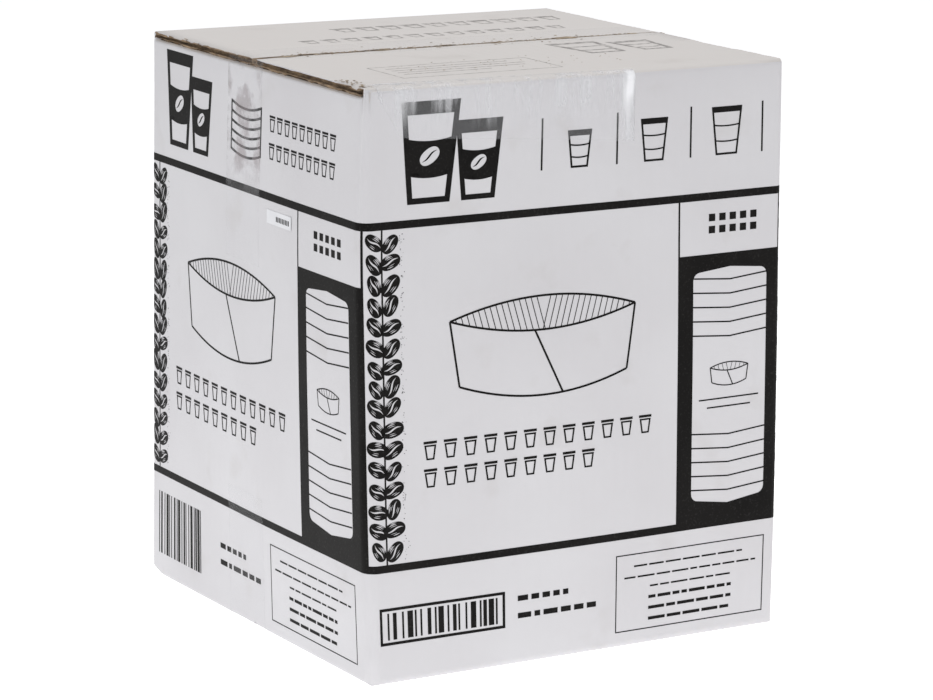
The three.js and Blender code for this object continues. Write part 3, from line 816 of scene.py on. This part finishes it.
def fold_on(flat, panel):
    """Carries a flat drawing on to its panel of the carton, round the corners at both ends."""
    corner, along, length = panel["corner"], panel["along"], panel["length"]
    out = (along[1], -along[0])
    for vertex in flat.data.vertices:
        u, v, w = vertex.co.x, vertex.co.y, vertex.co.z + ink_gap
        for radius, at_start in zip(panel["radii"], (True, False)):
            from_end = u if at_start else length - u
            if from_end < radius:
                angle = (radius - max(from_end, 0)) / radius * math.pi / 4
                reach = radius - (radius + w) * math.sin(angle)
                w = (radius + w) * math.cos(angle) - radius
                u = reach if at_start else length - reach
                break
        x = corner[0] * half_width + along[0] * u + out[0] * w
        y = corner[1] * half_depth + along[1] * u + out[1] * w
        vertex.co = (x, y, v)


printed = []
for name, panel in panels.items():
    flat = flat_ink(f"print_{name}", panel_sets(panel, name))
    length = panel["length"]
    start_radius, end_radius = panel["radii"]
    cuts = [(0, u) for u in evenly(0, length, grid_step)] + [(1, v) for v in evenly(0, height, grid_step)]
    cuts += [(0, u) for u in evenly(0, start_radius, arc_grid)] + [(0, start_radius)]
    cuts += [(0, u) for u in evenly(length - end_radius, length, arc_grid)] + [(0, length - end_radius)]
    make_active(flat)
    cut_grid(cuts)
    face_up(flat)
    skin = flat.modifiers.new("ink", "SOLIDIFY")
    skin.thickness = ink_thickness
    skin.offset = 1
    make_active(flat)
    bpy.ops.object.modifier_apply(modifier=skin.name)
    fold_on(flat, panel)
    settle(flat)
    printed.append(flat)

bpy.ops.object.select_all(action="DESELECT")
for flat in printed:
    flat.select_set(True)
bpy.context.view_layer.objects.active = printed[0]
bpy.ops.object.join()
carton_print = bpy.context.object
carton_print.name = "carton_print"
bpy.ops.object.shade_smooth_by_angle(angle=math.radians(30))

ink = bpy.data.materials.new("black_print")
nodes, links, shader = new_nodes(ink)
wear = patchy(nodes, 700, 3, 0.56, 0.74)
patches = patchy(nodes, 22, 5, 0.35, 0.65)
light_wear = maths(nodes, links, "MULTIPLY", wear, 0.045)
deep = blend_colours(nodes, links, patches, (0.005, 0.0043, 0.004), (0.0095, 0.0085, 0.008))
links.new(blend_colours(nodes, links, light_wear, deep, (0.35, 0.34, 0.33)), shader.inputs["Base Color"])
shader.inputs["Roughness"].default_value = 0.5
shader.inputs["Specular IOR Level"].default_value = 0.09
carton_print.data.materials.clear()
carton_print.data.materials.append(ink)
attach(carton_print, "root")
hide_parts("printed_frame", *(
    f"{drawing}_{name}"
    for drawing in ("cup_badge", "sleeve_drawing", "bar_pattern", "note_frame")
    for name in panels
))

# Clear film tape, 48 mm wide: one length over each seam with tails down the side panels, and a torn short one
# over the front edge, laid askew. It has gone hazy where it was rubbed, and is creased at the fold. On the
# front tape, painted glints, a painted highlight and a painted reflection are laid in as denser white film.
tape_gap = 0.13 * mm
tape_thickness = 0.05 * mm
tape_near, tape_far = -14 * mm, 34 * mm
tape_step = 3 * mm
tape_recess = 0.25 * mm
tape_crease = 0.5 * mm
shoulder = height - 7.8 * mm
side_fold_radius = 3 * mm
flap_fold_radius = 4.5 * mm


def sampled(path, step):
    """Points along a path at even steps, its own points among them."""
    points = [path[0]]
    for start, end in zip(path, path[1:]):
        count = max(1, math.ceil((end - start).length / step))
        points += [start.lerp(end, i / count) for i in range(1, count + 1)]
    return points


def sheet(name, rows):
    """A thin closed sheet through rows of points, its outer side where the rows run anticlockwise."""
    columns = len(rows[0])
    vertices = [point for row in rows for point in row]
    faces = [(r * columns + c, r * columns + c + 1, (r + 1) * columns + c + 1, (r + 1) * columns + c)
             for r in range(len(rows) - 1) for c in range(columns - 1)]
    data = bpy.data.meshes.new(name)
    data.from_pydata(vertices, [], faces)
    piece = placed(name, data)
    make_active(piece)
    return piece


def thicken(piece, thickness):
    make_active(piece)
    film = piece.modifiers.new("thickness", "SOLIDIFY")
    film.thickness = thickness
    film.offset = 1
    bpy.ops.object.modifier_apply(modifier=film.name)
    bpy.ops.object.mode_set(mode="EDIT")
    bpy.ops.mesh.select_all(action="SELECT")
    bpy.ops.mesh.normals_make_consistent(inside=False)
    bpy.ops.object.mode_set(mode="OBJECT")


def crease(place):
    """A small lift of the film off the board, in streaks across the tape."""
    streak = noise.noise(Vector((place.x * 110, place.y * 110, place.z * 26)))
    return tape_crease * max(0, streak) ** 2


def closing_tape(name, tail_left, tail_right, upside_down):
    """Laid over the top seam; the tape of the bottom seam is laid the same way and turned upside down."""
    steps_across = 16
    side, end = half_width + tape_gap, half_width - flap_end_inset + tape_gap
    if upside_down:
        turns = [(half_width - side_fold_radius + (side_fold_radius + tape_gap) * math.cos(angle),
                  height - side_fold_radius + (side_fold_radius + tape_gap) * math.sin(angle))
                 for angle in (math.pi / 2 * i / 5 for i in range(6))]
    else:
        turns = [(side, shoulder), (end, height + tape_gap)]
    path = [Vector((-side, 0, height - tail_left))] + [Vector((-x, 0, z)) for x, z in turns]
    path += [Vector((x, 0, z)) for x, z in turns[::-1]] + [Vector((side, 0, height - tail_right))]
    rows = []
    for place in sampled(path, tape_step):
        row = []
        for i in range(steps_across + 1):
            y = tape_near + (tape_far - tape_near) * i / steps_across
            point = Vector((place.x, y, place.z))
            if place.z < shoulder:
                point.x += math.copysign(crease(point), place.x)
            elif not upside_down:
                point.z += crease(point)
            if upside_down:
                point.z = height + tape_recess - point.z
            row.append(point)
        rows.append(row)
    if not upside_down:
        rows = [row[::-1] for row in rows]
    piece = sheet(name, rows)
    thicken(piece, tape_thickness)
    settle(piece)
    return piece


def front_tape(name):
    """Follows the fold from the front panel to the outer flap; u runs from the left edge of the carton."""
    start, tear_end, right_end = 8.5 * mm, 24 * mm, 184.5 * mm
    steps_along, steps_across = 88, 30
    fold_length = flap_fold_radius * math.pi / 2
    rows = []
    for u in (start + (right_end - start) * i / steps_along for i in range(steps_along + 1)):
        share = (u - tear_end) / (right_end - tear_end)
        lowest = height - 30 * mm - 13 * mm * share
        if u < tear_end:
            torn = (u - start) / (tear_end - start)
            lowest = height - 5 * mm - 25 * mm * torn + 1.2 * mm * noise.noise(Vector((u * 700, 0, 0)))
        reach = (18 * mm - 12.5 * mm * max(share, 0)) + 0.5 * mm * noise.noise(Vector((u * 300, 5, 0)))
        below, above = height - flap_fold_radius - lowest, reach - flap_fold_radius
        row = []
        for i in range(steps_across + 1):
            s = -below + (below + fold_length + above) * i / steps_across
            near_fold = math.exp(-((s - fold_length / 2) / (9 * mm)) ** 2)
            near_end = math.exp(-((u - right_end + 5 * mm) / (6 * mm)) ** 2)
            streak = noise.noise(Vector((u * 230, s * 30, 7)))
            lift = tape_gap + mm * (0.35 * near_fold + 0.45 * near_end) * max(0, streak)
            radius = flap_fold_radius + lift
            if s < 0:
                y, z = -half_depth - lift, height - flap_fold_radius + s
            elif s < fold_length:
                angle = s / flap_fold_radius
                y = -half_depth + flap_fold_radius - radius * math.cos(angle)
                z = height - flap_fold_radius + radius * math.sin(angle)
            else:
                y, z = -half_depth + flap_fold_radius + s - fold_length, height + lift
            row.append(Vector((u - half_width, y, z)))
        rows.append(row[::-1])
    piece = sheet(name, rows)
    thicken(piece, tape_thickness)
    settle(piece)
    return piece


film = bpy.data.materials.new("clear_film")
nodes, links, shader = new_nodes(film)
rubbed = patchy(nodes, 56, 9, 0.47, 0.60)
streaks = patchy(nodes, 130, 2, 0.47, 0.80, (1, 1, 0.10))
film_place = nodes.new("ShaderNodeSeparateXYZ")
film_coordinates = nodes.new("ShaderNodeTexCoord")
links.new(film_coordinates.outputs["Object"], film_place.inputs[0])


def within(low, high, socket):
    """A mask that goes from 0 to 1 between two places on one of the object's axes."""
    ramp = nodes.new("ShaderNodeMapRange")
    ramp.interpolation_type = "SMOOTHSTEP"
    ramp.inputs["From Min"].default_value = low
    ramp.inputs["From Max"].default_value = high
    links.new(film_place.outputs[socket], ramp.inputs["Value"])
    return ramp.outputs["Result"]


on_left = within(-0.1450, -0.1462, "X")
high_up = within(0.275, 0.300, "Z")
near_top = within(0.330, 0.352, "Z")
in_front = within(-0.120, -0.135, "Y")
torn_right = maths(nodes, links, "MULTIPLY", within(0.0265, 0.034, "X"), in_front)
grimy = maths(nodes, links, "MULTIPLY", maths(nodes, links, "MULTIPLY", on_left, rubbed), high_up)
glints = maths(nodes, links, "MULTIPLY", maths(nodes, links, "MULTIPLY", in_front, streaks), near_top)
# A painted highlight: in a band at the torn right end of the front tape the white film is made denser, in
# streaks.
torn_end_highlight = maths(nodes, links, "MULTIPLY", torn_right, maths(nodes, links, "ADD", 0.10, streaks))
# Every tape has a thin haze of its own; over the front tape the white film is made denser all over as a
# painted reflection, which greys the ink under it.
haze_and_reflection = maths(nodes, links, "ADD", 0.03, maths(nodes, links, "MULTIPLY", in_front, 0.025))
alpha = maths(nodes, links, "ADD", haze_and_reflection, maths(nodes, links, "MULTIPLY", grimy, 0.21))
alpha = maths(nodes, links, "ADD", alpha, maths(nodes, links, "MULTIPLY", glints, 0.6))
alpha = maths(nodes, links, "ADD", alpha, torn_end_highlight)
links.new(alpha, shader.inputs["Alpha"])
film_colour = blend_colours(nodes, links, grimy, (0.93, 0.93, 0.95), (0.50, 0.44, 0.45))
links.new(film_colour, shader.inputs["Base Color"])
shader.inputs["Roughness"].default_value = 0.16
add_bump(nodes, links, shader, maths(nodes, links, "ADD", streaks, rubbed), 0.6, 0.6 * mm)

tapes = {
    "top_seam_tape": closing_tape("top_film", 128 * mm, 66 * mm, False),
    "bottom_seam_tape": closing_tape("bottom_film", 86 * mm, 58 * mm, True),
    "front_edge_tape": front_tape("front_film"),
}
for node, piece in tapes.items():
    make_active(piece)
    piece.data.materials.append(film)
    bpy.ops.object.shade_smooth()
    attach(piece, "root")
    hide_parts(node)

# A small sticker of white paper is stuck on the left panel under the upper band. Its right end lifts off,
# and a row of plain marks is printed on it.
sticker_start, sticker_low = 175 * mm, 264 * mm
sticker_width, sticker_height = 34 * mm, 8.5 * mm
sticker_gap = 0.11 * mm
sticker_lift = 0.25 * mm
sticker_steps, sticker_rows_up = 12, 3
marks_gap = sticker_gap + 0.11 * mm


def lifted(u):
    """How far the sticker has come off the panel at a place along it."""
    return sticker_lift * ((u - sticker_start) / sticker_width) ** 6


sticker_rows = []
for i in range(sticker_steps + 1):
    u = sticker_start + sticker_width * i / sticker_steps
    x = -half_width - sticker_gap - lifted(u)
    sticker_rows.append([Vector((x, half_depth - u, sticker_low + sticker_height * k / sticker_rows_up))
                         for k in range(sticker_rows_up, -1, -1)])
label = sheet("paper_sticker", sticker_rows)
thicken(label, 0.1 * mm)
settle(label)
paper = bpy.data.materials.new("sticker_paper")
nodes, links, shader = new_nodes(paper)
paper_clouds = patchy(nodes, 60, 3, 0.3, 0.7)
paper_colour = blend_colours(nodes, links, paper_clouds, (0.80, 0.80, 0.82), (0.74, 0.74, 0.76))
links.new(paper_colour, shader.inputs["Base Color"])
shader.inputs["Roughness"].default_value = 0.6
label.data.materials.append(paper)
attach(label, "root")
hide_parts("sticker")

mark_row = [rectangle(188 + i * 2.1, 266.4, 189.3 + i * 2.1, 269.6) for i in range(9)]
marks = flat_ink("sticker_marks", [mark_row])
face_up(marks)
thicken(marks, 0.03 * mm)
for vertex in marks.data.vertices:
    u, v, w = vertex.co
    vertex.co = (-half_width - marks_gap - lifted(u) - w, half_depth - u, v)
settle(marks)
marks.data.materials.append(ink)
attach(marks, "root")

# The outer flaps carry the same black ink, printed thinly and since worn to grey: a frame for notes with four
# rules and two cups on the front flap, and two rows of small cups on the back flap. Places are in millimetres
# from the middle of the top.
rules = ((-80, 84), (-88, 92), (-96, 88), (-104, 60))
flap_sets = [frame_loops(-104, -118, 6, -70, 0.6)]
flap_sets.append([rectangle(-96, y, -96 + long, y + 0.8) for y, long in rules])
flap_sets.append(small_cups(-85, 46, 13, 15, 14))
flap_sets.append(small_cups(-40, 88, 10, 17, 18))
flap_sets += cup_loops(48, -72, 36, 50, 3.4, 6) + cup_loops(88, -72, 30, 42, 3.2, 6)
flap_print = flat_ink("flap_print", flap_sets)
make_active(flap_print)
cut_grid([(0, x) for x in evenly(-half_width, half_width, grid_step)]
         + [(1, y) for y in evenly(-half_depth, half_depth, grid_step)])
face_up(flap_print)
thicken(flap_print, 0.06 * mm)
for vertex in flap_print.data.vertices:
    vertex.co.z += height + ink_gap
settle(flap_print)
worn = bpy.data.materials.new("worn_grey_print")
nodes, links, shader = new_nodes(worn)
rubbed_off = patchy(nodes, 240, 6, 0.44, 0.66)
worn_colour = blend_colours(nodes, links, rubbed_off, (0.24, 0.225, 0.215), (0.60, 0.57, 0.55))
links.new(worn_colour, shader.inputs["Base Color"])
shader.inputs["Roughness"].default_value = 0.6
flap_print.data.materials.clear()
flap_print.data.materials.append(worn)
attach(flap_print, "root")

# Where an older tape was pulled off, the white liner has torn along the seam and at the left corners: ragged
# strips and flecks of bare brown paper, some of them standing up a little.
leaf_low, leaf_high = height + 0.09 * mm, height + 0.19 * mm
seam_tear_left, seam_tear_right = 5 * mm, 1.4 * mm
dice = random.Random(11)
tears = bmesh.new()


def patch(x, y, radius, stretch, corners):
    """A small ragged leaf of torn paper on the top, raised a little at one side."""
    start = dice.uniform(0, 2 * math.pi)
    low, high = [], []
    lift = dice.uniform(0.0, 0.35) * mm
    for i in range(corners):
        angle = start + 2 * math.pi * i / corners
        reach = radius * dice.uniform(0.55, 1.25)
        px, py = x + reach * stretch * math.cos(angle), y + reach * math.sin(angle)
        rise = lift * (0.5 + 0.5 * math.cos(angle - start))
        low.append(tears.verts.new((px, py, leaf_low + rise)))
        high.append(tears.verts.new((px, py, leaf_high + rise)))
    tears.faces.new(low[::-1])
    tears.faces.new(high)
    for i in range(corners):
        k = (i + 1) % corners
        tears.faces.new((low[i], low[k], high[k], high[i]))


def seam_edge(x, side):
    """One edge of the torn seam at a place along it: the tear narrows to the right."""
    share = (x + half_width) / width
    return side * (seam_tear_left + (seam_tear_right - seam_tear_left) * share) / 2


for side in (-1, 1):
    x = -half_width + 22 * mm
    while x < half_width - 20 * mm:
        size = max(0, noise.noise(Vector((x * 60, side * 4, 2)))) * 3.4 * mm + dice.uniform(0.15, 0.7) * mm
        patch(x, seam_edge(x, side) + side * size * 0.35, size, dice.uniform(1.2, 3.2), 9)
        x += dice.uniform(1.2, 4.2) * mm
seam_flecks, corner_flecks, flap_flecks = 70, 40, 60
for i in range(seam_flecks):
    x = dice.uniform(-0.125, 0.09)
    patch(x, dice.gauss(0, 9) * mm + 2 * mm, dice.uniform(0.2, 0.75) * mm, dice.uniform(1, 2.6), 7)
for i in range(corner_flecks):
    x = -half_width + abs(dice.gauss(0, 3.5)) * mm + 2 * mm
    patch(x, dice.uniform(-0.142, -0.105), dice.uniform(0.3, 1.1) * mm, dice.uniform(0.8, 1.5), 8)
for i in range(flap_flecks):
    x = dice.uniform(-0.10, 0.06)
    patch(x, dice.uniform(-0.11, -0.06), dice.uniform(0.15, 0.45) * mm, dice.uniform(1, 2.4), 6)
bmesh.ops.recalc_face_normals(tears, faces=tears.faces)
torn_data = bpy.data.meshes.new("torn_liner")
tears.to_mesh(torn_data)
tears.free()
torn = placed("torn_liner", torn_data)
settle(torn)
torn_paper = bpy.data.materials.new("torn_brown_paper")
finish_kraft(torn_paper, (0.52, 0.43, 0.32), (0.20, 0.145, 0.095))
torn.data.materials.append(torn_paper)
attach(torn, "root")

bpy.ops.object.select_all(action="DESELECT")
bpy.data.objects.remove(settling)
